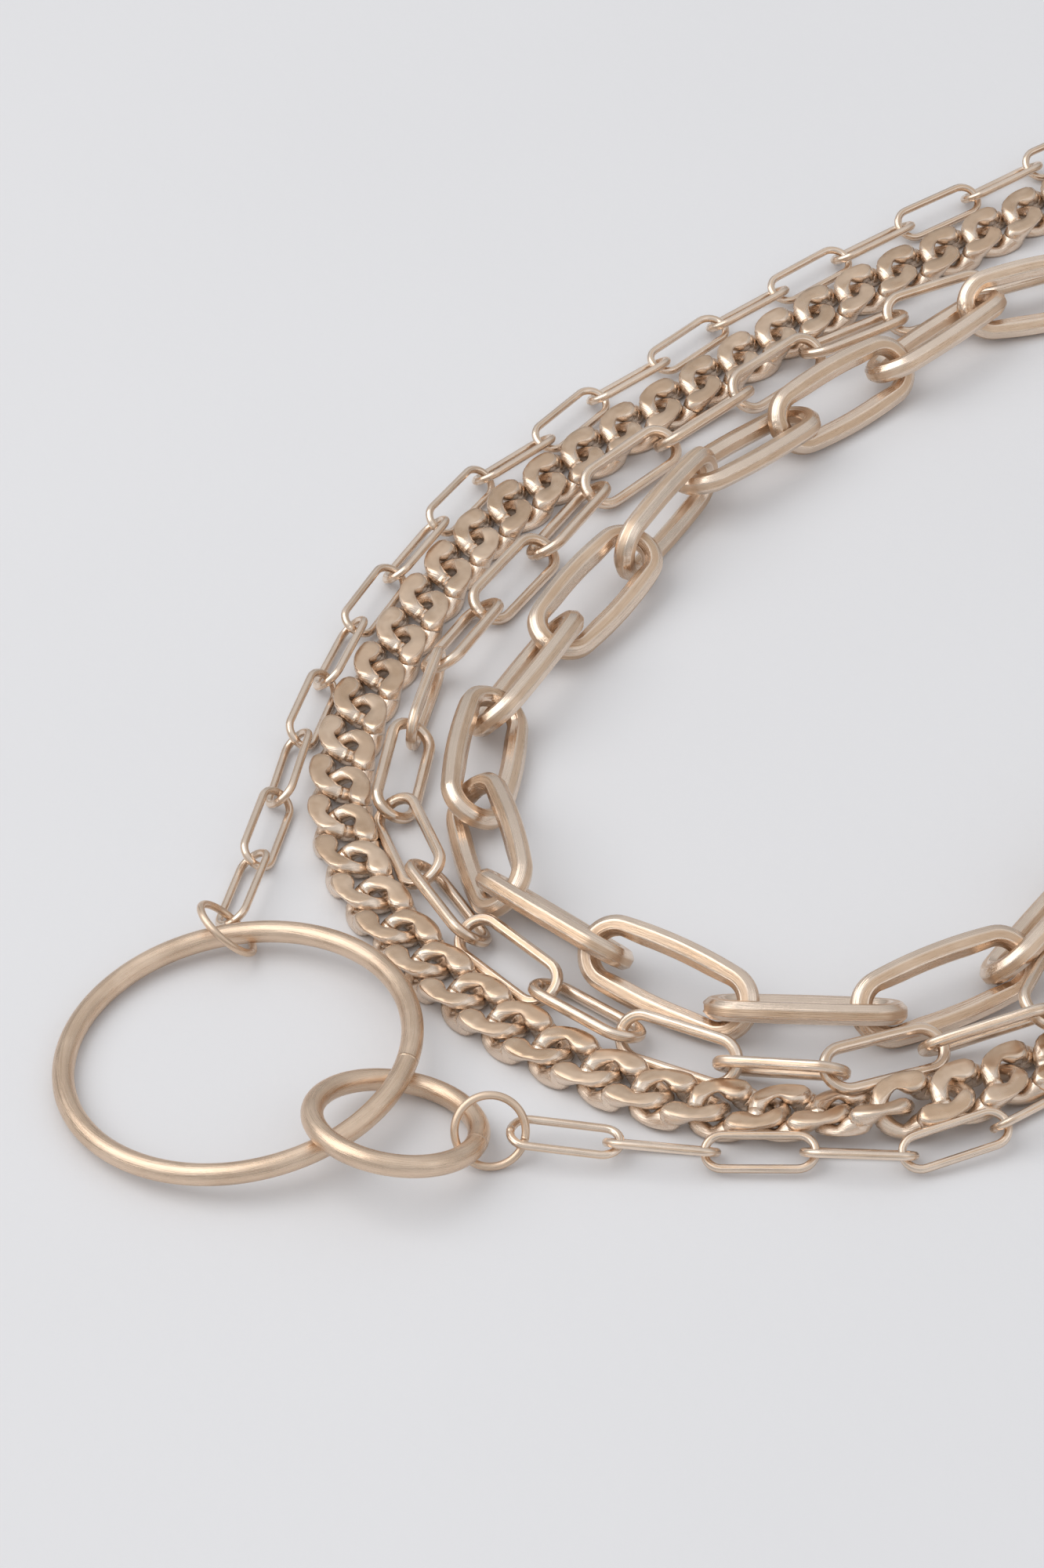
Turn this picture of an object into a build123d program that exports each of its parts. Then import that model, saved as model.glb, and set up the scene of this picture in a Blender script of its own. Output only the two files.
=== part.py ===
from build123d import *
from collections import namedtuple
from math import atan2, cos, degrees, radians, sin, tan
import os

# Multi strand necklace: four chains on two end rings and one plain clasp, lying flat.
# Lengths in mm, angles in degrees. Headings turn anticlockwise from +X. The strands run from
# the upper end ring, round the left side, to the lower end ring, so a link's left limb is
# the one on the neck side. Roll tips a link about its own run, and lifts the left limb.

# The middle of the necklace's box in the layout below, which becomes the origin
layout_middle = Vector(66.6, 28.5, -0.03)

# Link sizes: overall length and width, wire in the link's plane and across it, edge chamfer,
# and the longest step from one joint of the chain to the next
OvalLink = namedtuple("OvalLink", "length width wire thickness chamfer step")
large = OvalLink(22.4, 9.7, 2.3, 2.3, 0.6, 16.5)
medium = OvalLink(15.7, 6.2, 1.25, 1.25, 0.3, 12.5)
fine = OvalLink(12.9, 4.8, 0.9, 0.9, 0.25, 10.5)
large_side_radius = 60.0

# Curb link: round wire bent to two half circles that are twisted against each other, then
# pressed flat above and below
curb_wire = 1.8
curb_bend_radius = 3.1
curb_twist = 30.0
curb_half_straight = 1.6
curb_thickness = 2.7
curb_step = 6.7

# Rings: centre-line radius and wire radius
pendant_large_radius = 19.45
pendant_small_radius = 9.1
pendant_wire_radius = 1.25
jump_radius = 3.85
jump_wire_radius = 0.45
end_jump_radius = 3.2
end_jump_wire_radius = 0.55
end_ring_radius = 6.5
end_ring_wire_radius = 0.8

# Clasp: an upright plate with an eye at each end, through a barrel
clasp_centre = Vector(144.4, 67.4)
clasp_heading = 119.0
clasp_length = 26.0
clasp_height = 7.5
clasp_plate = 2.0
clasp_eye_spacing = 19.0
clasp_eye_radius = 1.3
clasp_barrel_length = 11.0
clasp_barrel_radius = 3.2

# Running clearance between parts that hook into each other
clearance = 0.15

# Links that show, in order: heading, step to the next joint, roll, height of the joint after
Lay = namedtuple("Lay", "heading step roll height")
Start = namedtuple("Start", "x y height")

large_start = Start(78.3, 82.8, 4.0)
large_shown = [
    Lay(-168, 16.5, -50, 4.2),
    Lay(-139, 16.5, 30, 4.1),
    Lay(-143, 16.5, -50, 4.0),
    Lay(-140, 15.9, 18, 4.9),
    Lay(-124, 15.9, 90, 4.9),
    Lay(-127, 16.5, -24, 3.8),
    Lay(-121, 15.7, 45, 3.8),
    Lay(-101, 15.5, -34, 3.6),
    Lay(-81, 15.9, 41, 4.2),
    Lay(-48, 16.3, -49, 4.8),
    Lay(-36, 16.2, 43, 3.6),
    Lay(-8, 16.4, -37, 3.4),
    Lay(22, 15.9, 40, 3.9),
    Lay(51.5, 15.9, -46, 4.5),
]

medium_start = Start(75.2, 88.8, 2.5)
medium_shown = [
    Lay(-165, 12.5, 25, 2.1),
    Lay(-158, 12.6, -36, 2.4),
    Lay(-151, 12.6, 26, 2.7),
    Lay(-139, 12.6, -41, 3.0),
    Lay(-142, 12.6, 43, 2.5),
    Lay(-138, 12.6, -34, 2.4),
    Lay(-124, 12.5, 34, 2.3),
    Lay(-126, 12.5, -32, 2.1),
    Lay(-119, 12.4, 32, 3.2),
    Lay(-106, 12.5, 85, 3.1),
    Lay(-103, 12.3, -35, 2.1),
    Lay(-75, 12.3, 29, 2.5),
    Lay(-65, 11.4, -42, 2.3),
    Lay(-51, 12.4, 28, 2.0),
    Lay(-45.5, 12.4, -29, 2.6),
    Lay(-33, 12.6, 49, 3.2),
    Lay(-21.5, 11.9, -54, 5.3),
    Lay(22.5, 12.4, 26, 3.3),
    Lay(7, 11.5, -55, 5.7),
    Lay(68, 12.2, 37, 2.7),
]

fine_left_start = Start(72.5, 112, 1.6)
fine_left_shown = [
    Lay(-146, 10.5, 35, 1.8),
    Lay(-150, 10.5, -31, 1.7),
    Lay(-147, 10.5, 33, 1.7),
    Lay(-144, 10.5, -21, 1.7),
    Lay(-144, 10.4, 35, 1.7),
    Lay(-138, 10.3, -15, 1.7),
    Lay(-143, 10.4, 35, 1.7),
    Lay(-132, 10.4, -23, 1.7),
    Lay(-140, 10.4, 35, 1.8),
    Lay(-124, 10.5, -40, 2.2),
    Lay(-123, 10.5, 38, 1.8),
    Lay(-118, 10.5, -33, 2.1),
    Lay(-111.5, 10.4, 41, 2.0),
    Lay(-108.5, 10.6, -49, 2.0),
    Lay(-104, 10.5, 41, 1.9),
    Lay(-106, 10.6, -43, 1.8),
    Lay(-107, 10.1, 34, 1.8),
]

fine_right_start = Start(-3.3, -60.1, 3.0)
fine_right_shown = [
    Lay(-12, 10.3, 2, 2.3),
    Lay(-11, 10.6, -43, 1.8),
    Lay(-7, 10.6, 22, 1.9),
    Lay(-8.5, 10.7, -42, 1.8),
    Lay(15.5, 10.6, 24, 2.5),
    Lay(30.5, 10.4, -50, 2.4),
]

curb_start = Start(75.4, 105.3, curb_thickness / 2)
curb_flat_headings = [
    -145, -147, -150, -150, -149, -145, -141, -139, -140, -142, -141, -139, -137, -133,
    -130, -123, -118, -116, -115, -112, -105, -99, -90, -81, -73, -65, -61, -55,
]
curb_shown = [Lay(heading, curb_step, 0, curb_thickness / 2) for heading in curb_flat_headings] + [
    Lay(-51, 6.8, 0, 1.4),
    Lay(-44, 6.6, 0, 1.4),
    Lay(-40, 6.8, -1, 1.55),
    Lay(-37, 6.6, -3, 1.6),
    Lay(-24, 6.6, -4, 1.6),
    Lay(-13.5, 6.7, 1, 1.75),
    Lay(-8.5, 6.7, -9, 2.05),
    Lay(-6, 6.7, -20, 2.75),
    Lay(7, 6.6, 8, 2.9),
    Lay(27, 6.6, 5, 2.2),
    Lay(27, 6.7, 2, 1.6),
]

# Pendant and jump rings: centre, and how steeply each rises to the right and to the far side
RingLay = namedtuple("RingLay", "x y height rise_right rise_far")
pendant_large_lay = RingLay(-33.42, -44.01, 2.90, 4.5, -1.4)
pendant_small_lay = RingLay(-16.40, -58.60, 4.28, -12.6, -14.2)
jump_left_lay = RingLay(-34.30, -24.58, 3.34, -46.9, -19.7)
jump_right_lay = RingLay(-6.30, -60.10, 3.40, -0.7, 46.3)

# Strand ends: how far round the end ring towards the neck, joint's distance from the jump
# ring's centre, joint's height, the hidden runs to the two rings and the roll of their links
StrandEnd = namedtuple("StrandEnd", "spread reach height upper lower roll")
Hidden = namedtuple("Hidden", "heading links")
large_end = StrandEnd(48, 2.3, 3.8, Hidden(8, 3), Hidden(52, 7), 42)
medium_end = StrandEnd(16, 2.5, 3.3, Hidden(23, 5), Hidden(42, 11), 38)
curb_end = StrandEnd(-16, 2.5, 3.1, Hidden(35, 11), Hidden(6, 25), 0)
fine_end = StrandEnd(-48, 2.4, 2.9, Hidden(34, 9), Hidden(0, 19), 32)

end_jump_height = end_jump_radius + end_jump_wire_radius
end_jump_seat = end_ring_radius + (end_jump_radius - end_jump_wire_radius) - end_ring_wire_radius - clearance


def polar(length, heading):
    return Vector(length * cos(radians(heading)), length * sin(radians(heading)))


def raised(point, height):
    return Vector(point.X, point.Y, height)


def rest_height(link, roll):
    """Height of a link's middle when its lower limb touches the surface."""
    tip = radians(roll)
    return link.width / 2 * abs(sin(tip)) + link.thickness / 2 * abs(cos(tip))


def shown_joints(start, rows):
    """The joints of a run of links that shows."""
    joints = [Vector(*start)]
    for row in rows:
        joints.append(raised(joints[-1] + polar(row.step, row.heading), row.height))
    return joints


def hidden_joints(start, heading_out, end, heading_in, step, heights):
    """Joints at equal steps along one even curve, whose fullness gives each its step."""
    links = len(heights) - 1

    def curve(fullness):
        out, back = polar(fullness, heading_out), polar(fullness, heading_in)
        return Bezier(start, start + out, end - back, end)

    slack, full = 1.0, 400.0
    while full - slack > 0.01:
        middle = (slack + full) / 2
        if curve(middle).length < links * step:
            slack = middle
        else:
            full = middle
    course = curve(slack)
    return [raised(course @ (number / links), height) for number, height in enumerate(heights)]


def alternate_rolls(links, first_roll):
    """Rolls that tip one way and the other in turn."""
    return [first_roll * (-1) ** number for number in range(links)]


def joint_heights(link, rolls, start_height, end_height):
    """Each joint as high as the higher of its two links needs, between two given ends."""
    rests = [rest_height(link, roll) for roll in rolls]
    between = [max(pair) for pair in zip(rests, rests[1:])]
    return [start_height] + between + [end_height]


def curb_heights(links, start_height, end_height):
    """A curb run lies flat, apart from the links that climb to either end of it."""
    flat_height = curb_thickness / 2
    heights = [flat_height] * (links + 1)
    climb = [1.0, 0.4, 0.12, 0.035, 0.01]
    for step_down, share in enumerate(climb):
        heights[step_down] += share * (start_height - flat_height)
        heights[-1 - step_down] += share * (end_height - flat_height)
    return heights


def hidden_run(end, upper, joint, step, heights_of, first_roll):
    """Joints and rolls of a strand's hidden run, listed from its shown end to its ring."""
    if upper:
        ring_centre, away, run = upper_ring_centre, clasp_heading + end.spread, end.upper
    else:
        ring_centre, away, run = lower_ring_centre, clasp_heading + 180 - end.spread, end.lower
    last = ring_centre + polar(end_jump_seat + end.reach, away)
    rolls = alternate_rolls(run.links, first_roll)
    heights = heights_of(rolls, joint.Z, end.height)
    return hidden_joints(raised(joint, 0), run.heading, last, away + 180, step, heights), rolls


def full_strand(shown_joint_list, shown_rolls, before=None, after=None):
    """A strand's joints and rolls in travel order, with its hidden runs added."""
    joints, rolls = list(shown_joint_list), list(shown_rolls)
    if before:
        run_joints, run_rolls = before
        joints = run_joints[:0:-1] + joints
        rolls = [-roll for roll in run_rolls[::-1]] + rolls
    if after:
        run_joints, run_rolls = after
        joints = joints + run_joints[1:]
        rolls = rolls + run_rolls
    return joints, rolls


def place(joint, next_joint, roll):
    """Plane of a link: X along its run, Z across the plane that it lies in."""
    along = (next_joint - joint).normalized()
    left = Vector(0, 0, 1).cross(along).normalized()
    across = left.rotate(Axis((0, 0, 0), along), roll)
    middle = (joint + next_joint) / 2 - layout_middle
    return Plane(origin=middle, x_dir=along, z_dir=along.cross(across))


def places(joints, rolls):
    return [place(*pair, roll) for *pair, roll in zip(joints, joints[1:], rolls)]


def ring_plane(lay):
    """Plane of a loose ring from how steeply it rises to the right and to the far side."""
    normal = Vector(-tan(radians(lay.rise_right)), -tan(radians(lay.rise_far)), 1)
    return Plane(origin=Vector(lay.x, lay.y, lay.height) - layout_middle, z_dir=normal)


def write_node(part, label):
    part.label = label
    export_step(part, f"parts/{label}.step")


def slot_link(size):
    """A link with two straight limbs, flat above and below."""
    inner_length, inner_width = size.length - 2 * size.wire, size.width - 2 * size.wire
    with BuildPart() as link:
        with BuildSketch():
            SlotOverall(size.length, size.width)
            SlotOverall(inner_length, inner_width, mode=Mode.SUBTRACT)
        extrude(amount=size.thickness / 2, both=True)
        flats = link.faces().filter_by(Axis.Z)
        chamfer(flats.edges(), size.chamfer)
    return link.part


def bowed_outline(length, width, side_radius, inset):
    """Closed outline of two end arcs and two side arcs that meet smoothly."""
    half_length, half_width = length / 2, width / 2
    side_drop = side_radius - half_width
    end_radius = (half_length**2 + side_drop**2 - side_radius**2) / (2 * (half_length - side_radius))
    end_x = half_length - end_radius
    meeting = degrees(atan2(side_drop, end_x))
    for turn in (0, 180):
        side = 1 if turn == 0 else -1
        CenterArc((side * end_x, 0), end_radius - inset, turn - meeting, 2 * meeting)
        CenterArc((0, -side * side_drop), side_radius - inset, turn + meeting, 180 - 2 * meeting)


def bowed_link(size, side_radius):
    """A link whose two limbs bow gently outwards, flat above and below."""
    with BuildPart() as link:
        with BuildSketch():
            with BuildLine():
                bowed_outline(size.length, size.width, side_radius, 0)
            make_face()
            with BuildLine():
                bowed_outline(size.length, size.width, side_radius, size.wire)
            make_face(mode=Mode.SUBTRACT)
        extrude(amount=size.thickness / 2, both=True)
        flats = link.faces().filter_by(Axis.Z)
        chamfer(flats.edges(), size.chamfer)
    return link.part


def curb_link():
    """Two half circles twisted against each other, joined by two S bends and pressed flat."""
    twist = radians(curb_twist)
    rise = curb_bend_radius * sin(twist)
    limb_y = curb_bend_radius * cos(twist)
    limb_radius = (curb_half_straight**2 + rise**2) / (2 * rise)
    limb_turn = 2 * degrees(atan2(rise, curb_half_straight))
    with BuildPart() as link:
        for end in (1, -1):
            bend_centre = Vector(end * curb_half_straight, 0, 0)
            bend_out = Vector(0, cos(twist), -end * sin(twist))
            bend_axis = Axis(bend_centre, Vector(end, 0, 0).cross(bend_out))
            start = bend_centre - bend_out * curb_bend_radius
            with BuildSketch(Plane(origin=start, z_dir=(1, 0, 0))):
                Circle(curb_wire / 2)
            revolve(axis=bend_axis, revolution_arc=180)
            for side in (1, -1):
                level = -end * side
                limb_start = Vector(end * curb_half_straight, side * limb_y, level * rise)
                limb_centre = limb_start - Vector(0, 0, level * limb_radius)
                limb_axis = Axis(limb_centre, Vector(0, -end * level, 0))
                with BuildSketch(Plane(origin=limb_start, z_dir=(1, 0, 0))):
                    Circle(curb_wire / 2)
                revolve(axis=limb_axis, revolution_arc=limb_turn)
        reach = 2 * (curb_half_straight + curb_bend_radius) + 2 * curb_wire
        Box(reach, reach, curb_thickness, mode=Mode.INTERSECT)
    return link.part


def chain(link, link_places):
    """One node that holds every link of a chain."""
    with BuildPart() as node:
        with Locations(*link_places):
            add(link)
    return node.part


def ring(radius, wire_radius, plane):
    with BuildPart() as made:
        with Locations(plane):
            Torus(radius, wire_radius)
    return made.part


os.makedirs("parts", exist_ok=True)

along_clasp = polar(1, clasp_heading)
ring_offset = clasp_eye_spacing / 2 + end_ring_radius
upper_ring_centre = clasp_centre + along_clasp * ring_offset
lower_ring_centre = clasp_centre - along_clasp * ring_offset


def oval_strand(size, end, start, shown, upper=True, lower=True):
    """Places of an oval chain's links, its hidden links tipped against the shown ones."""

    def heights(rolls, start_height, end_height):
        return joint_heights(size, rolls, start_height, end_height)

    joints, before, after = shown_joints(start, shown), None, None
    if upper:
        first_roll = end.roll if shown[0].roll > 0 else -end.roll
        before = hidden_run(end, True, joints[0], size.step, heights, first_roll)
    if lower:
        first_roll = -end.roll if shown[-1].roll > 0 else end.roll
        after = hidden_run(end, False, joints[-1], size.step, heights, first_roll)
    return places(*full_strand(joints, [row.roll for row in shown], before, after))


def curb_strand(end, start, shown):
    """Places of the curb chain's links, which all lie the same way up."""

    def heights(rolls, start_height, end_height):
        return curb_heights(len(rolls), start_height, end_height)

    joints = shown_joints(start, shown)
    before = hidden_run(end, True, joints[0], curb_step, heights, 0)
    after = hidden_run(end, False, joints[-1], curb_step, heights, 0)
    return places(*full_strand(joints, [row.roll for row in shown], before, after))


def end_ring_set(ring_centre, fan_heading, side):
    """Planes of an end ring and of the upright jump rings that the strands hang on."""
    flat = Plane(origin=raised(ring_centre, end_jump_height) - layout_middle)
    upright = []
    for end in (large_end, medium_end, curb_end, fine_end):
        away = fan_heading + side * end.spread
        centre = raised(ring_centre + polar(end_jump_seat, away), end_jump_height)
        upright.append(Plane(origin=centre - layout_middle, z_dir=polar(1, away + 90)))
    return flat, upright


large_link = bowed_link(large, large_side_radius)
large_places = oval_strand(large, large_end, large_start, large_shown)
for number, link_place in enumerate(large_places, start=1):
    write_node(chain(large_link, [link_place]), f"large_link_{number:02d}")

medium_places = oval_strand(medium, medium_end, medium_start, medium_shown)
write_node(chain(slot_link(medium), medium_places), "medium_chain")

curb_places = curb_strand(curb_end, curb_start, curb_shown)
write_node(chain(curb_link(), curb_places), "curb_chain")

fine_link = slot_link(fine)
fine_left_places = oval_strand(fine, fine_end, fine_left_start, fine_left_shown, lower=False)
write_node(chain(fine_link, fine_left_places), "fine_chain_left")
fine_right_places = oval_strand(fine, fine_end, fine_right_start, fine_right_shown, upper=False)
write_node(chain(fine_link, fine_right_places), "fine_chain_right")

loose_rings = [
    ("pendant_ring_large", pendant_large_radius, pendant_wire_radius, pendant_large_lay),
    ("pendant_ring_small", pendant_small_radius, pendant_wire_radius, pendant_small_lay),
    ("pendant_jump_ring_left", jump_radius, jump_wire_radius, jump_left_lay),
    ("pendant_jump_ring_right", jump_radius, jump_wire_radius, jump_right_lay),
]
for label, radius, wire_radius, lay in loose_rings:
    write_node(ring(radius, wire_radius, ring_plane(lay)), label)

for name, ring_centre, fan_heading, side in (
    ("upper", upper_ring_centre, clasp_heading, 1),
    ("lower", lower_ring_centre, clasp_heading + 180, -1),
):
    flat_plane, upright_planes = end_ring_set(ring_centre, fan_heading, side)
    write_node(ring(end_ring_radius, end_ring_wire_radius, flat_plane), f"end_ring_{name}")
    with BuildPart() as jump_rings:
        with Locations(*upright_planes):
            Torus(end_jump_radius, end_jump_wire_radius)
    write_node(jump_rings.part, f"end_jump_rings_{name}")

clasp_middle = raised(clasp_centre, end_jump_height) - layout_middle
clasp_plane = Plane(origin=clasp_middle, x_dir=along_clasp, z_dir=polar(1, clasp_heading - 90))
with BuildPart() as clasp:
    with BuildSketch(clasp_plane):
        SlotOverall(clasp_length, clasp_height)
        with GridLocations(clasp_eye_spacing, 0, 2, 1):
            Circle(clasp_eye_radius, mode=Mode.SUBTRACT)
    extrude(amount=clasp_plate / 2, both=True)
    barrel_start = clasp_middle - along_clasp * (clasp_barrel_length / 2)
    with BuildSketch(Plane(origin=barrel_start, z_dir=along_clasp)):
        Circle(clasp_barrel_radius)
    extrude(amount=clasp_barrel_length)
write_node(clasp.part, "clasp")
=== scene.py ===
import math
from collections import namedtuple

import bpy
import numpy as np
from bpy.props import FloatProperty, FloatVectorProperty, PointerProperty
from mathutils import Matrix, Vector


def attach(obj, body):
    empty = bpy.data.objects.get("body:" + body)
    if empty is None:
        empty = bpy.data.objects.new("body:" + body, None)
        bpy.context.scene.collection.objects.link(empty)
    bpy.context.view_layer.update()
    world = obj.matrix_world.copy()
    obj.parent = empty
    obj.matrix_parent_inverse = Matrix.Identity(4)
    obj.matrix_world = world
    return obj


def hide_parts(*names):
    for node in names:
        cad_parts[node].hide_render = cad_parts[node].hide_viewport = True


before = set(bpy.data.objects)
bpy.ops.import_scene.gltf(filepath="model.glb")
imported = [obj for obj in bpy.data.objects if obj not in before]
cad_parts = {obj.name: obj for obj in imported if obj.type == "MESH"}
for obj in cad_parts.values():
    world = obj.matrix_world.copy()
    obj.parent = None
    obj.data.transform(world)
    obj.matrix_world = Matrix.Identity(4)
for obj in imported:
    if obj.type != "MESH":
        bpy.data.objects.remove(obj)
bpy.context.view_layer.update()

bl_info = {
    "name": "Multi strand necklace",
    "version": (1, 0, 0),
    "blender": (4, 5, 0),
    "location": "3D View > Sidebar > Necklace",
    "description": "Chains of gold links, rings and a clasp, laid on a pale floor",
    "category": "Add Mesh",
}

Finish = namedtuple("Finish", "material roughness streak_depth paleness joint_width_mm")
FINISHES = {
    "large_gold": Finish("large_brushed", 0.36, 0.5, 0.0, 1.4),
    "medium_gold": Finish("medium_satin", 0.30, 0.4, 0.1, 0.5),
    "fine_gold": Finish("fine_satin", 0.30, 0.3, 0.1, 0.4),
    "curb_gold": Finish("curb_brushed", 0.34, 0.5, 0.0, 0.3),
    "ring_gold": Finish("ring_satin", 0.36, 0.35, 0.0, 0.16),
}

# Marks for each millimetre along and around the wire, and the jump from one link to the next
Marks = namedtuple("Marks", "along around link detail")
STREAKS = Marks(0.22, 6.5, 7.31, 4.0)
HAIRLINES = Marks(0.5, 20.0, 3.17, 2.0)

# Marks for each metre
BLOOM_SCALE = 180.0
PIT_SCALE = 1400.0
GRAIN_SCALE = 2400.0
BUMP_HEIGHT = 0.00016

# Where extra width on a link starts, and over what length it comes in, in metres
Swell = namedtuple("Swell", "start fade_length")
LARGE_LIMB = Swell(0.0075, 0.003)
CURB_LIMB = Swell(0.0030, 0.0024)
CURB_TIP = Swell(0.0016, 0.0014)
CURB_LEVELLING = 0.45
PRESSED_BELOW = 0.97
FLAT_POINTS = 4
ROUND_POINTS = 6

# The rough lumps of solder at a large link's joint
Lumps = namedtuple("Lumps", "length swelling")
LARGE_JOINT = Lumps(0.0009, 0.13)

LARGE_EDGE_ROUNDING = 0.00016
LARGE_BEND_STEPS = 20
RING_JOINT_ANGLE = -16.6
# How polished the rings are, which also sets how much painted highlight they carry.
RING_POLISH_AND_HIGHLIGHT = 0.3
WIDE_RING_RADIUS = 0.015
WIDE_RING_STEPS = 160
RING_STEPS = 72
ALMOST_ROUND = 0.9

Light = namedtuple("Light", "name shift size power tint")
ROOM_TINT = (0.97, 0.98, 1.0)
FLOOR_HALF = 2.5


# Sizes and colours

def length(name, description, default):
    return FloatProperty(
        name=name, description=description, default=default, unit="LENGTH", precision=5
    )


def angle(name, description, degrees):
    return FloatProperty(
        name=name, description=description, default=math.radians(degrees), unit="ROTATION"
    )


def power(name, description, default):
    return FloatProperty(name=name, description=description, default=default, unit="POWER")


def strength(name, description, default):
    return FloatProperty(name=name, description=description, default=default, min=0.0)


def colour(name, description, default):
    return FloatVectorProperty(
        name=name, description=description, default=default, size=3, subtype="COLOR", min=0.0, max=1.0
    )


class LinkSizes(bpy.types.PropertyGroup):
    """Wire sizes of the links, in metres."""

    large_wire: length("Large wire", "Width of the large links' wire", 0.0023)
    large_chamfer: length("Large chamfer", "Bevel along the large links' wire", 0.0006)
    large_side_radius: length("Large side radius", "Bow of the large links' sides", 0.060)
    medium_wire: length("Medium wire", "Width of the medium links' wire", 0.00125)
    medium_chamfer: length("Medium chamfer", "Bevel along the medium links' wire", 0.0003)
    fine_wire: length("Fine wire", "Width of the fine links' wire", 0.0009)
    fine_chamfer: length("Fine chamfer", "Bevel along the fine links' wire", 0.00025)
    large_limb_swell: length("Large limb swell", "Extra width inside the large links' sides", 0.00025)
    curb_wire: length("Curb wire", "Thickness of the curb links' wire", 0.00192)
    curb_limb_inside: length("Curb limb inside", "Extra width inside the pressed limbs", 0.00075)
    curb_limb_outside: length("Curb limb outside", "Extra width outside the pressed limbs", 0.00012)
    curb_limb_height: length("Curb limb height", "Extra height above and below the limbs' middle", 0.0004)
    curb_tip_swell: length("Curb tip swell", "Extra width outside the ends of a curb link", 0.00015)
    curb_bend_radius: length("Curb bend radius", "Centre-line radius of a curb link's ends", 0.0031)
    curb_half_straight: length("Curb half straight", "Half the length of a curb link's limbs", 0.0016)
    curb_twist: angle("Curb twist", "Twist of each end of a curb link", 30)
    curb_edge: length("Curb edge", "Bevel beside the pressed flats", 0.00016)


class GoldLooks(bpy.types.PropertyGroup):
    """Colours and finish of the metal."""

    gold: colour("Gold", "Main metal colour", (0.83, 0.64, 0.48))
    gold_deep: colour("Deep gold", "Metal colour in the streaks and hooks", (0.56, 0.375, 0.235))
    # The pale gold is painted on bevels as a painted highlight, and it also tints the medium and fine
    # chains slightly.
    gold_pale_and_highlight: colour("Pale gold", "Metal colour on polished edges", (0.94, 0.84, 0.745))
    polished_roughness: FloatProperty(
        name="Polished roughness", description="Roughness of the polished edges", default=0.22,
        min=0.0, max=1.0, subtype="FACTOR"
    )


class StageLooks(bpy.types.PropertyGroup):
    """Floor, light and camera."""

    floor: colour("Floor", "Colour of the painted surface", (0.82, 0.82, 0.835))
    key_power: power("Key light", "Power of the large soft light", 5.6)
    fill_power: power("Fill light", "Power of the low soft light", 0.8)
    room_top: strength("Room light above", "Strength of the light overhead", 0.82)
    room_side: strength("Room light beside", "Strength of the light low down", 0.37)
    view_centre: FloatVectorProperty(
        name="View centre", description="Point of the floor at the picture's centre",
        default=(-0.0666, -0.0285, 0.0), size=3, subtype="TRANSLATION", unit="LENGTH", precision=4
    )
    view_height: angle("View height", "Camera's angle above the floor", 41.2)
    view_roll: angle("View roll", "Camera's turn about its own view", 4.4)
    view_distance: length("View distance", "Camera's distance from the view centre", 0.6726)
    lens: FloatProperty(name="Lens", description="Focal length in millimetres", default=133.2, min=1.0)


# Shader maths

class Value:
    """A shader socket that can be used in plain arithmetic."""

    def __init__(self, tree, socket):
        self.tree, self.socket = tree, socket

    def _math(self, operation, first, second, clamp=False):
        node = self.tree.nodes.new("ShaderNodeMath")
        node.operation, node.use_clamp = operation, clamp
        for slot, value in zip(node.inputs, (first, second)):
            if isinstance(value, Value):
                self.tree.links.new(value.socket, slot)
            else:
                slot.default_value = value
        return Value(self.tree, node.outputs[0])

    def __add__(self, other):
        return self._math("ADD", self, other)

    def __radd__(self, other):
        return self._math("ADD", other, self)

    def __sub__(self, other):
        return self._math("SUBTRACT", self, other)

    def __rsub__(self, other):
        return self._math("SUBTRACT", other, self)

    def __mul__(self, other):
        return self._math("MULTIPLY", self, other)

    def __rmul__(self, other):
        return self._math("MULTIPLY", other, self)

    def __truediv__(self, other):
        return self._math("DIVIDE", self, other)

    def __rtruediv__(self, other):
        return self._math("DIVIDE", other, self)

    def __abs__(self):
        return self._math("ABSOLUTE", self, 0.0)

    def clamped(self):
        return self._math("ADD", self, 0.0, clamp=True)


class Nodes:
    """Makes and joins the nodes of one tree."""

    def __init__(self, tree):
        self.tree = tree

    def put(self, socket, value):
        if isinstance(value, Value):
            self.tree.links.new(value.socket, socket)
        else:
            socket.default_value = value

    def node(self, kind, settings=None, sockets=None, output=0):
        """A new node with its settings and then its sockets; gives one of its outputs."""
        made = self.tree.nodes.new(kind)
        for key, value in (settings or {}).items():
            setattr(made, key, value)
        for key, value in (sockets or {}).items():
            self.put(made.inputs[key], value)
        return Value(self.tree, made.outputs[output])


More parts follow.
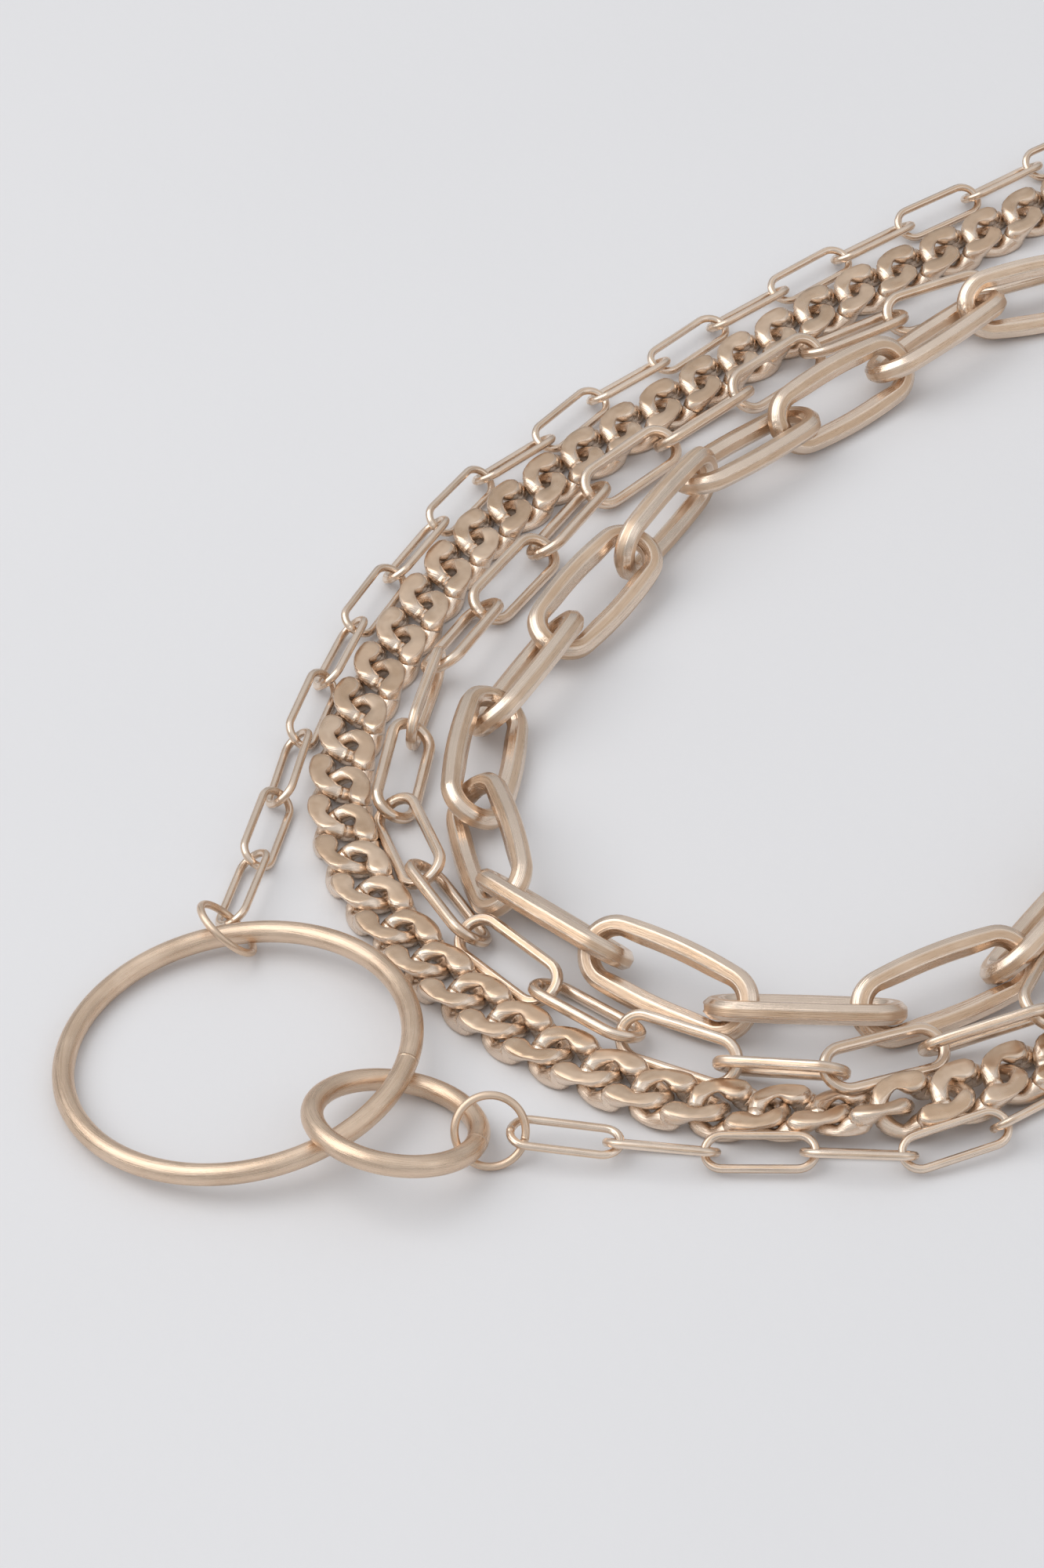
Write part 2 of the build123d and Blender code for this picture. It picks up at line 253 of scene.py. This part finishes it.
class Material(Nodes):
    """A new node material with one principled shader."""

    def __init__(self, name):
        self.data = bpy.data.materials.new(name)
        self.data.use_nodes = True
        super().__init__(self.data.node_tree)
        self.shader = self.tree.nodes["Principled BSDF"]
        self.place = self.node("ShaderNodeTexCoord", output="Object")

    def mix(self, factor, first, second):
        """A colour between two others."""
        settings = {"data_type": "RGBA", "clamp_factor": True}
        return self.node("ShaderNodeMix", settings, {0: factor, 6: first, 7: second}, output=2)

    def vector(self, x, y, z):
        return self.node("ShaderNodeCombineXYZ", sockets={0: x, 1: y, 2: z})

    def noise(self, vector, scale, detail):
        sockets = {"Vector": vector, "Scale": scale, "Detail": detail}
        return self.node("ShaderNodeTexNoise", sockets=sockets)

    def ramp(self, factor, *stops):
        """A grey that goes from one shade to another between two values of the factor."""
        grey = self.node("ShaderNodeValToRGB", sockets={"Fac": factor})
        for element, (position, shade) in zip(grey.socket.node.color_ramp.elements, stops):
            element.position = position
            element.color = (shade, shade, shade, 1.0)
        return grey

    def attribute(self, name):
        return self.node("ShaderNodeAttribute", {"attribute_name": name}, output="Fac")

    def bump(self, strength, distance, height):
        sockets = {"Strength": strength, "Distance": distance, "Height": height}
        return self.node("ShaderNodeBump", sockets=sockets)

    def finish(self, sockets):
        """Feeds the shader and gives the material."""
        for name, value in sockets.items():
            self.put(self.shader.inputs[name], value)
        return self.data


def opaque(rgb):
    return (*rgb, 1.0)


def gold_material(finish, looks):
    """Gold with fine streaks along the wire, polished edges painted pale as a painted highlight, dull
    patches and a soldered joint.
    """
    metal = Material(finish.material)
    along, around = metal.attribute("along_mm"), metal.attribute("around_mm")
    link, polish_and_highlight = metal.attribute("link_number"), metal.attribute("polish_and_highlight")
    flat = 1.0 - polish_and_highlight
    solder = (1.0 - metal.attribute("joint_mm") / finish.joint_width_mm).clamped()

    def marks(kind):
        place = metal.vector(along * kind.along, around * kind.around, link * kind.link)
        return metal.noise(place, 1.0, kind.detail)

    streaks, hairlines = marks(STREAKS), marks(HAIRLINES)
    link_tone = metal.noise(metal.vector(link * 1.73, link * 0.61, 0.5), 1.0, 0.0)
    bloom = metal.noise(metal.place, BLOOM_SCALE, 3.0)
    grain = metal.noise(metal.place, GRAIN_SCALE, 2.0)
    pits = metal.noise(metal.place, PIT_SCALE, 3.0)
    dark_lines = metal.ramp(streaks * 0.5 + hairlines * 0.5, (0.40, 1.0), (0.53, 0.0))
    dull = metal.ramp(bloom * 0.6 + link_tone * 0.4, (0.42, 1.0), (0.6, 0.0))
    pitted = metal.ramp(pits, (0.42, 1.0), (0.6, 0.1))

    gold, deep, pale_and_highlight = (Vector(rgb) for rgb in (looks.gold, looks.gold_deep, looks.gold_pale_and_highlight))
    colour_now = opaque(gold.lerp(pale_and_highlight, finish.paleness))
    layers = (
        (dull * 0.5, deep),
        (dark_lines * (flat * 0.38 + 0.1), deep),
        # Polished bevels and sides get a pale colour: a painted highlight, on top of their real lower
        # roughness.
        (polish_and_highlight * 0.45, pale_and_highlight),
        (solder * pitted * 0.85, deep),
    )
    for amount, rgb in layers:
        colour_now = metal.mix(amount, colour_now, opaque(rgb))

    rough = flat * (finish.roughness - looks.polished_roughness) + looks.polished_roughness
    rough = rough + (streaks - 0.5) * 0.7 + (bloom - 0.5) * 0.3 + solder * 0.12
    height = streaks * 0.6 + hairlines * flat * 0.5 + grain * 0.12 + solder * pits * 3.0
    normal = metal.bump(finish.streak_depth, BUMP_HEIGHT, height)
    sockets = {"Base Color": colour_now, "Metallic": 1.0, "Roughness": rough.clamped(), "Normal": normal}
    return metal.finish(sockets)


def gold_for(slot, looks):
    """The slot's gold, made once."""
    finish = FINISHES[slot]
    return bpy.data.materials.get(finish.material) or gold_material(finish, looks)


# Shapes

def loose_parts(node):
    """The separate solids of a CAD node, as vertex and triangle arrays."""
    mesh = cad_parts[node].data
    mesh.calc_loop_triangles()
    corners = np.empty(len(mesh.vertices) * 3)
    mesh.vertices.foreach_get("co", corners)
    triangles = np.empty(len(mesh.loop_triangles) * 3, np.int64)
    mesh.loop_triangles.foreach_get("vertices", triangles)
    corners = corners.reshape(-1, 3)
    keys = np.round(corners * 1e7).astype(np.int64)
    _, first, joined = np.unique(keys, axis=0, return_index=True, return_inverse=True)
    corners = corners[first]
    triangles = joined.reshape(-1)[triangles].reshape(-1, 3)
    label = np.arange(len(corners))
    while True:
        lowest = label[triangles].min(axis=1)
        before = label.copy()
        for column in range(3):
            np.minimum.at(label, triangles[:, column], lowest)
        label = label[label]
        if (label == before).all():
            break
    part_of = label[triangles[:, 0]]
    return [(corners, triangles[part_of == part]) for part in np.unique(part_of)]


class Place:
    """Centre, axes and half sizes of a solid: X is its length and Z points up out of its plane."""

    def __init__(self, corners, triangles):
        used = corners[np.unique(triangles)]
        origin = used.mean(axis=0)
        a, b, c = (corners[triangles[:, k]] - origin for k in range(3))
        volume = np.einsum("ij,ij->i", a, np.cross(b, c)) / 6
        total = a + b + c
        middle = (volume[:, None] * total / 4).sum(axis=0) / volume.sum()
        spread = sum(np.einsum("i,ij,ik->jk", volume, p, p) for p in (a, b, c, total)) / 20
        spread = spread / volume.sum() - np.outer(middle, middle)
        axes = np.linalg.eigh(spread)[1][:, ::-1].T
        if axes[2][2] < 0:
            axes[2] = -axes[2]
        axes[1] = np.cross(axes[2], axes[0])
        self.centre, self.axes = origin + middle, axes
        self.half = np.abs((used - self.centre) @ axes.T).max(axis=0)
        if self.half[1] > ALMOST_ROUND * self.half[0]:
            axes[1] = np.cross(axes[2], (1, 0, 0))
            axes[1] /= np.linalg.norm(axes[1])
            axes[0] = np.cross(axes[1], axes[2])

    def put(self, points):
        return points @ self.axes + self.centre


def places_of(node):
    return [Place(*part) for part in loose_parts(node)]


def bevelled_section(width, thickness, chamfer, rounding):
    """Outline of a flat wire with bevelled, softly rounded edges, and how polished each point is; that
    value also sets a painted highlight on the bevels.
    """
    w, t = width / 2, thickness / 2
    corners = [(w, chamfer - t), (w, t - chamfer), (w - chamfer, t), (chamfer - w, t)]
    corners += [(-x, -y) for x, y in corners]
    points, polish_and_highlight = [], []
    for number in range(8):
        before, here, after, later = (Vector(corners[(number + k) % 8]) for k in (-1, 0, 1, 2))
        into, out = (here - before).normalized(), (after - here).normalized()
        reach = rounding * math.tan(into.angle(out) / 2)
        inward = (out - into).normalized()
        peak = here + inward * rounding * (1 / math.cos(into.angle(out) / 2) - 1)
        points += [here - into * reach, peak, here + out * reach]
        # Bevel points are polished and carry the painted highlight; flat faces carry neither.
        polish_and_highlight += [1.0, 1.0, 1.0]
        if number % 2 == 0:
            onward = (later - after).normalized()
            start, end = here + out * reach, after - out * rounding * math.tan(out.angle(onward) / 2)
            points += [start.lerp(end, 0.2), start.lerp(end, 0.8)]
            polish_and_highlight += [0.0, 0.0]
    return np.array([tuple(p) for p in points]), np.array(polish_and_highlight)


def bend(centre, radius, start, sweep, steps):
    """Positions and outward directions along an arc in the link's plane."""
    angles = np.radians(start + sweep * np.arange(steps) / steps)
    outward = np.stack([np.cos(angles), np.sin(angles), 0 * angles], axis=1)
    return np.array([*centre, 0.0]) + radius * outward, outward


def closed_course(parts, bend_steps):
    """Joins the parts of a course and starts it at the middle of its first bend."""
    return tuple(np.roll(np.vstack(column), -bend_steps // 2, axis=0) for column in zip(*parts))


def slot_course(half_length, half_width, wire, steps=14):
    """Centre line of a link with two straight limbs."""
    radius = half_width - wire / 2
    shift = half_length - half_width
    parts = []
    for side, start in ((1, -90), (-1, 90)):
        parts.append(bend((side * shift, 0), radius, start, 180, steps))
        for x in (shift, shift / 2, 0, -shift / 2):
            parts.append(bend((side * x, 0), radius, start + 180, 0, 1))
    return closed_course(parts, steps)


def bowed_course(half_length, half_width, wire, side_radius, steps):
    """Centre line of a link whose limbs bow gently outwards."""
    drop = side_radius - half_width
    end_radius = (half_length**2 + drop**2 - side_radius**2) / (2 * (half_length - side_radius))
    end_x = half_length - end_radius
    meeting = math.degrees(math.atan2(drop, end_x))
    parts = [
        bend((end_x, 0), end_radius - wire / 2, -meeting, 2 * meeting, steps),
        bend((0, -drop), side_radius - wire / 2, meeting, 180 - 2 * meeting, steps // 2),
        bend((-end_x, 0), end_radius - wire / 2, 180 - meeting, 2 * meeting, steps),
        bend((0, drop), side_radius - wire / 2, 180 + meeting, 180 - 2 * meeting, steps // 2),
    ]
    return closed_course(parts, steps)


def ring_course(radius, steps):
    return bend((0, 0), radius, RING_JOINT_ANGLE, 360, steps)


def arc_lengths(points):
    """Distance along a closed row of points, with the full turn at the end."""
    steps = np.linalg.norm(np.roll(points, -1, axis=0) - points, axis=1)
    return np.concatenate([[0], np.cumsum(steps)])


class Wire:
    """Skin of a closed wire: its points, how far along and around it they are, and how polished they are,
    which also sets a painted highlight.
    """

    def __init__(self, grid, polish_and_highlight):
        self.grid = grid
        self.polish_and_highlight = np.broadcast_to(polish_and_highlight, grid.shape[:2])
        self.along_mm = arc_lengths(grid.mean(axis=1)) * 1000
        self.around_mm = arc_lengths(grid[0]) * 1000


def fade(value):
    """A smooth step from 0 to 1."""
    value = np.clip(value, 0, 1)
    return value * value * (3 - 2 * value)


def swept_wire(course, section, polish_and_highlight, limb_swell=0.0, lumps=None):
    """A section carried along a flat course, wider inside its limbs and lumpy at its joint."""
    position, outward = course
    upward = np.array([0.0, 0.0, 1.0])
    on_limb = fade((LARGE_LIMB.start - np.abs(position[:, :1])) / LARGE_LIMB.fade_length)
    inside = np.clip(-section[None, :, 0] / section[:, 0].max(), 0, 1)
    across = section[None, :, 0] - limb_swell * on_limb * inside
    rise = np.broadcast_to(section[None, :, 1], across.shape)
    if lumps is not None:
        run = arc_lengths(position)
        run = np.minimum(run, run[-1] - run)[:-1, None]
        near = np.exp(-((run / lumps.length) ** 2))
        rough = np.random.default_rng(7).uniform(-0.6, 1.0, across.shape)
        grow = 1 + near * lumps.swelling * rough
        across, rise = across * grow, rise * np.minimum(grow, 1.0)
    grid = position[:, None] + outward[:, None] * across[..., None] + upward * rise[..., None]
    return Wire(grid, polish_and_highlight)


def curb_course(sizes, bend_steps=16, limb_steps=8):
    """Centre line of a curb link: twisted half circles and S-bent limbs."""
    twist, radius, reach = sizes.curb_twist, sizes.curb_bend_radius, sizes.curb_half_straight
    rise, limb_y = radius * math.sin(twist), radius * math.cos(twist)
    limb_radius = (reach**2 + rise**2) / (2 * rise)
    limb_turn = 2 * math.atan2(rise, reach)
    points = []
    for end in (1, -1):
        outer = np.array([0, math.cos(twist), -end * math.sin(twist)])
        for turn in np.linspace(-math.pi / 2, math.pi / 2, bend_steps + 1) * end:
            ahead = np.array([end * math.cos(turn), 0, 0])
            points.append(np.array([end * reach, 0, 0]) + radius * (ahead + outer * math.sin(turn)))
        for part in range(1, 2 * limb_steps):
            past_middle = part / limb_steps - 1
            turn = limb_turn * (1 - abs(past_middle))
            run = limb_radius * math.sin(turn)
            fall = limb_radius * (1 - math.cos(turn))
            half = -1 if past_middle <= 0 else 1
            points.append(np.array([-half * end * (reach - run), end * limb_y, half * (rise - fall)]))
    return np.roll(np.array(points), -bend_steps // 2, axis=0)


def curb_wire_skin(sizes, half_thickness):
    """Wire on the curb course, fuller in its limbs and pressed flat above and below."""
    course = curb_course(sizes)
    radius = sizes.curb_wire / 2
    limb_y = sizes.curb_bend_radius * math.cos(sizes.curb_twist)
    tip_x = sizes.curb_half_straight + sizes.curb_bend_radius
    from_middle = np.abs(course[:, 0])
    on_limb = fade((CURB_LIMB.start - from_middle) / CURB_LIMB.fade_length)
    on_limb *= fade(np.abs(course[:, 1]) / limb_y * 2 - 1)
    on_tip = fade((from_middle - tip_x + CURB_TIP.start) / CURB_TIP.fade_length)
    course[:, 2] *= 1 - CURB_LEVELLING * on_limb
    tangent = np.roll(course, -1, axis=0) - np.roll(course, 1, axis=0)
    tangent /= np.linalg.norm(tangent, axis=1)[:, None]
    rows, shine = [], []
    for centre, ahead, limb, tip in zip(course, tangent, on_limb, on_tip):
        side = np.cross(ahead, (0, 0, 1))
        side /= np.linalg.norm(side)
        up = np.cross(side, ahead)
        height = radius + sizes.curb_limb_height * limb
        outside = radius + sizes.curb_limb_outside * limb + sizes.curb_tip_swell * tip
        inside = radius + sizes.curb_limb_inside * limb
        levels = [(half_thickness - side_of * centre[2]) / up[2] / height for side_of in (1, -1)]
        top, bottom = (math.asin(min(0.999, max(-0.9, level))) for level in levels)
        edge = sizes.curb_edge / radius
        section = []
        for face, first, last in ((1, top, bottom), (-1, bottom, top)):
            chord = math.cos(first)
            soft = min(edge, 0.45 * chord)
            flat = np.linspace(chord - soft, soft - chord, FLAT_POINTS)
            section += [(face * x, face * math.sin(first)) for x in flat]
            slip = min(edge, (first + last) / 5)
            turns = np.linspace(math.pi - first + slip, math.pi + last - slip, ROUND_POINTS)
            section += [(face * math.cos(turn), face * math.sin(turn)) for turn in turns]
        section = np.array(section)
        section *= np.where(section[:, :1] > 0, (outside, height), (inside, height))
        rows.append(centre + section[:, :1] * side + section[:, 1:] * up)
        shine.append([])
        for level in levels:
            # Pressed flats and rounded sides get polished and carry the painted highlight; unpressed flats
            # get neither.
            shine[-1] += [float(level >= PRESSED_BELOW)] * FLAT_POINTS + [1.0] * ROUND_POINTS
    return Wire(np.array(rows), np.array(shine))


def round_section(radius, steps=20):
    angles = np.radians(np.arange(steps) * 360 / steps)
    return np.stack([radius * np.cos(angles), radius * np.sin(angles)], axis=1), np.full(steps, RING_POLISH_AND_HIGHLIGHT)


def by_corner(*values):
    """Values at the four corners of every face of a grid."""
    return np.stack(values, axis=-1)


def build_piece(name, wires, places, slot, node, first_number=1):
    """One mesh of a node's wires, each set at its place, in the slot's gold."""
    vertices, faces, offset = [], [], 0
    layers = {layer: [] for layer in ("along_mm", "around_mm", "joint_mm", "link_number", "polish_and_highlight")}
    for number, (wire, place) in enumerate(zip(wires, places), start=first_number):
        rows, columns = wire.grid.shape[:2]
        vertices.append(place.put(wire.grid.reshape(-1, 3)))
        i, j = np.meshgrid(np.arange(rows), np.arange(columns), indexing="ij")
        next_i, next_j = (i + 1) % rows, (j + 1) % columns
        here, ahead = i * columns, next_i * columns
        faces.append(by_corner(here + j, ahead + j, ahead + next_j, here + next_j).reshape(-1, 4) + offset)
        start, end = wire.along_mm[i], wire.along_mm[i + 1]
        left, right = wire.around_mm[j], wire.around_mm[j + 1]
        shine = wire.polish_and_highlight
        along = by_corner(start, end, end, start)
        layers["along_mm"].append(along)
        layers["joint_mm"].append(np.minimum(along, wire.along_mm[-1] - along))
        layers["around_mm"].append(by_corner(left, left, right, right))
        layers["link_number"].append(np.full(along.shape, float(number)))
        layers["polish_and_highlight"].append(
            by_corner(shine[i, j], shine[next_i, j], shine[next_i, next_j], shine[i, next_j])
        )
        offset += rows * columns
    mesh = bpy.data.meshes.new(name)
    mesh.from_pydata(np.vstack(vertices).tolist(), [], np.vstack(faces).tolist())
    for layer, values in layers.items():
        flat = np.concatenate([value.ravel() for value in values]).astype(np.float32)
        mesh.attributes.new(layer, "FLOAT", "CORNER").data.foreach_set("value", flat)
    mesh.shade_smooth()
    mesh.materials.append(gold_for(slot, bpy.context.scene.necklace_gold))
    turn_outward(mesh)
    piece = bpy.data.objects.new(name, mesh)
    bpy.context.scene.collection.objects.link(piece)
    weighted = piece.modifiers.new("face_weighted_normals", "WEIGHTED_NORMAL")
    weighted.weight = 80
    dress(piece, node)


def turn_outward(mesh):
    """Turns the skin right side out."""
    mesh.calc_loop_triangles()
    corners = np.array([vertex.co for vertex in mesh.vertices])
    triangles = np.array([triangle.vertices for triangle in mesh.loop_triangles])
    a, b, c = (corners[triangles[:, k]] for k in range(3))
    if np.einsum("ij,ij->i", a, np.cross(b, c)).sum() < 0:
        mesh.flip_normals()


def dress(piece, node):
    """Puts the piece on the necklace in place of its CAD node."""
    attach(piece, "root")
    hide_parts(node)


# Operators

class NECKLACE_OT_large_links(bpy.types.Operator):
    """Builds the large bowed links"""

    bl_idname = "necklace.large_links"
    bl_label = "Large links"

    def execute(self, context):
        sizes = context.scene.necklace_sizes
        nodes = sorted(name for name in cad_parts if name.startswith("large_link_"))
        for number, node in enumerate(nodes, start=1):
            place = places_of(node)[0]
            length_half, width_half, thickness_half = place.half
            wire_width, side_radius = sizes.large_wire, sizes.large_side_radius
            course = bowed_course(length_half, width_half, wire_width, side_radius, LARGE_BEND_STEPS)
            section = bevelled_section(
                wire_width, 2 * thickness_half, sizes.large_chamfer, LARGE_EDGE_ROUNDING
            )
            wire = swept_wire(course, *section, sizes.large_limb_swell, LARGE_JOINT)
            build_piece(f"{node}_dressed", [wire], [place], "large_gold", node, number)
        return {"FINISHED"}


class NECKLACE_OT_slot_chains(bpy.types.Operator):
    """Builds the medium chain and both fine chains"""

    bl_idname = "necklace.slot_chains"
    bl_label = "Medium and fine chains"

    def execute(self, context):
        sizes = context.scene.necklace_sizes
        chains = (
            ("medium_chain", sizes.medium_wire, sizes.medium_chamfer, "medium_gold"),
            ("fine_chain_left", sizes.fine_wire, sizes.fine_chamfer, "fine_gold"),
            ("fine_chain_right", sizes.fine_wire, sizes.fine_chamfer, "fine_gold"),
        )
        for node, wire_width, chamfer, slot in chains:
            places = places_of(node)
            wires = []
            for place in places:
                course = slot_course(place.half[0], place.half[1], wire_width)
                section = bevelled_section(wire_width, 2 * place.half[2], chamfer, chamfer * 0.7)
                wires.append(swept_wire(course, *section))
            build_piece(f"{node}_dressed", wires, places, slot, node)
        return {"FINISHED"}


class NECKLACE_OT_curb_chain(bpy.types.Operator):
    """Builds the curb chain"""

    bl_idname = "necklace.curb_chain"
    bl_label = "Curb chain"

    def execute(self, context):
        node = "curb_chain"
        places = places_of(node)
        skin = curb_wire_skin(context.scene.necklace_sizes, places[0].half[2])
        build_piece(f"{node}_dressed", [skin] * len(places), places, "curb_gold", node)
        return {"FINISHED"}


class NECKLACE_OT_rings(bpy.types.Operator):
    """Builds the pendant rings, jump rings and end rings"""

    bl_idname = "necklace.rings"
    bl_label = "Rings"

    def execute(self, context):
        nodes = sorted(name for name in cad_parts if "ring" in name)
        for node in nodes:
            places = places_of(node)
            wires = []
            for place in places:
                radius = place.half[2]
                across = max(place.half[0], place.half[1])
                steps = WIDE_RING_STEPS if across > WIDE_RING_RADIUS else RING_STEPS
                wires.append(swept_wire(ring_course(across - radius, steps), *round_section(radius)))
            build_piece(f"{node}_dressed", wires, places, "ring_gold", node)
        return {"FINISHED"}


class NECKLACE_OT_clasp(bpy.types.Operator):
    """Builds the plain clasp with softened edges"""

    bl_idname = "necklace.clasp"
    bl_label = "Clasp"

    def execute(self, context):
        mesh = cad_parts["clasp"].data.copy()
        mesh.name = "clasp_dressed"
        mesh.materials.clear()
        mesh.materials.append(gold_for("ring_gold", context.scene.necklace_gold))
        piece = bpy.data.objects.new("clasp_dressed", mesh)
        context.scene.collection.objects.link(piece)
        weld = piece.modifiers.new("weld", "WELD")
        weld.merge_threshold = 0.000002
        soften = piece.modifiers.new("soft_edges", "BEVEL")
        soften.width, soften.segments, soften.angle_limit = 0.0003, 3, math.radians(35)
        dress(piece, "clasp")
        return {"FINISHED"}


class NECKLACE_OT_stage(bpy.types.Operator):
    """Sets the floor, the lights and the camera"""

    bl_idname = "necklace.stage"
    bl_label = "Stage"

    def execute(self, context):
        stage = context.scene.necklace_stage
        painted = Material("painted_floor")
        cloud = painted.noise(painted.place, 14.0, 4.0)
        grain = painted.noise(painted.place, 420.0, 3.0)
        darker = opaque([channel * 0.97 for channel in stage.floor])
        shade = painted.mix((cloud - 0.35) * 1.2, darker, opaque(stage.floor))
        bump = painted.bump(0.12, 0.0005, grain + cloud)
        material = painted.finish({"Base Color": shade, "Roughness": 0.7, "Normal": bump})
        mesh = bpy.data.meshes.new("floor")
        corners = [(x * FLOOR_HALF, y * FLOOR_HALF, 0) for x, y in ((-1, -1), (1, -1), (1, 1), (-1, 1))]
        mesh.from_pydata(corners, [], [(0, 1, 2, 3)])
        mesh.materials.append(material)
        floor = bpy.data.objects.new("floor", mesh)
        context.scene.collection.objects.link(floor)

        world = bpy.data.worlds.new("room")
        world.use_nodes = True
        room = Nodes(world.node_tree)
        direction = room.node("ShaderNodeTexCoord", output="Generated")
        rise = room.node("ShaderNodeSeparateXYZ", sockets={"Vector": direction}, output="Z").clamped()
        background = world.node_tree.nodes["Background"]
        room.put(background.inputs["Color"], opaque(ROOM_TINT))
        room.put(
            background.inputs["Strength"], rise * (stage.room_top - stage.room_side) + stage.room_side
        )
        context.scene.world = world
        context.scene.view_settings.view_transform = "Standard"

        centre = Vector(stage.view_centre)
        lights = (
            Light("key_light", (-0.68, 0.05, 0.92), 1.15, stage.key_power, (1.0, 0.98, 0.96)),
            Light("fill_light", (0.9, -0.5, 0.6), 0.8, stage.fill_power, (0.95, 0.97, 1.0)),
        )
        for light in lights:
            shift = Vector(light.shift)
            data = bpy.data.lights.new(light.name, "AREA")
            data.shape, data.size = "SQUARE", light.size
            data.energy, data.color = light.power, light.tint
            lamp = bpy.data.objects.new(light.name, data)
            lamp.location = centre + shift
            lamp.rotation_mode = "QUATERNION"
            lamp.rotation_quaternion = (-shift).to_track_quat("-Z", "Y")
            context.scene.collection.objects.link(lamp)

        height, roll = stage.view_height, stage.view_roll
        forward = Vector((0, math.cos(height), -math.sin(height)))
        level, upright = Vector((1, 0, 0)), Vector((0, math.sin(height), math.cos(height)))
        right = level * math.cos(roll) - upright * math.sin(roll)
        upward = level * math.sin(roll) + upright * math.cos(roll)
        camera = bpy.data.objects.new("camera", bpy.data.cameras.new("camera"))
        context.scene.collection.objects.link(camera)
        turned = Matrix((right, upward, -forward)).transposed().to_4x4()
        camera.matrix_world = Matrix.Translation(centre - forward * stage.view_distance) @ turned
        camera.data.lens, camera.data.sensor_width = stage.lens, 36.0
        camera.data.clip_start, camera.data.clip_end = 0.01, 10.0
        context.scene.camera = camera
        return {"FINISHED"}


class NECKLACE_PT_panel(bpy.types.Panel):
    """Lists the necklace's pieces"""

    bl_idname = "NECKLACE_PT_panel"
    bl_label = "Necklace"
    bl_space_type = "VIEW_3D"
    bl_region_type = "UI"
    bl_category = "Necklace"

    def draw(self, context):
        column = self.layout.column()
        for operator in OPERATORS:
            column.operator(operator.bl_idname)
        scene = context.scene
        for group in (scene.necklace_sizes, scene.necklace_gold, scene.necklace_stage):
            box = self.layout.box()
            for name in group.__annotations__:
                box.prop(group, name)


OPERATORS = (
    NECKLACE_OT_large_links,
    NECKLACE_OT_slot_chains,
    NECKLACE_OT_curb_chain,
    NECKLACE_OT_rings,
    NECKLACE_OT_clasp,
    NECKLACE_OT_stage,
)
GROUPS = (LinkSizes, GoldLooks, StageLooks)


def register():
    for group in (*GROUPS, *OPERATORS, NECKLACE_PT_panel):
        bpy.utils.register_class(group)
    bpy.types.Scene.necklace_sizes = PointerProperty(type=LinkSizes)
    bpy.types.Scene.necklace_gold = PointerProperty(type=GoldLooks)
    bpy.types.Scene.necklace_stage = PointerProperty(type=StageLooks)


def unregister():
    del bpy.types.Scene.necklace_sizes
    del bpy.types.Scene.necklace_gold
    del bpy.types.Scene.necklace_stage
    for group in reversed((*GROUPS, *OPERATORS, NECKLACE_PT_panel)):
        bpy.utils.unregister_class(group)


def main():
    register()
    bpy.ops.necklace.large_links()
    bpy.ops.necklace.slot_chains()
    bpy.ops.necklace.curb_chain()
    bpy.ops.necklace.rings()
    bpy.ops.necklace.clasp()
    bpy.ops.necklace.stage()


if __name__ == "__main__":
    main()
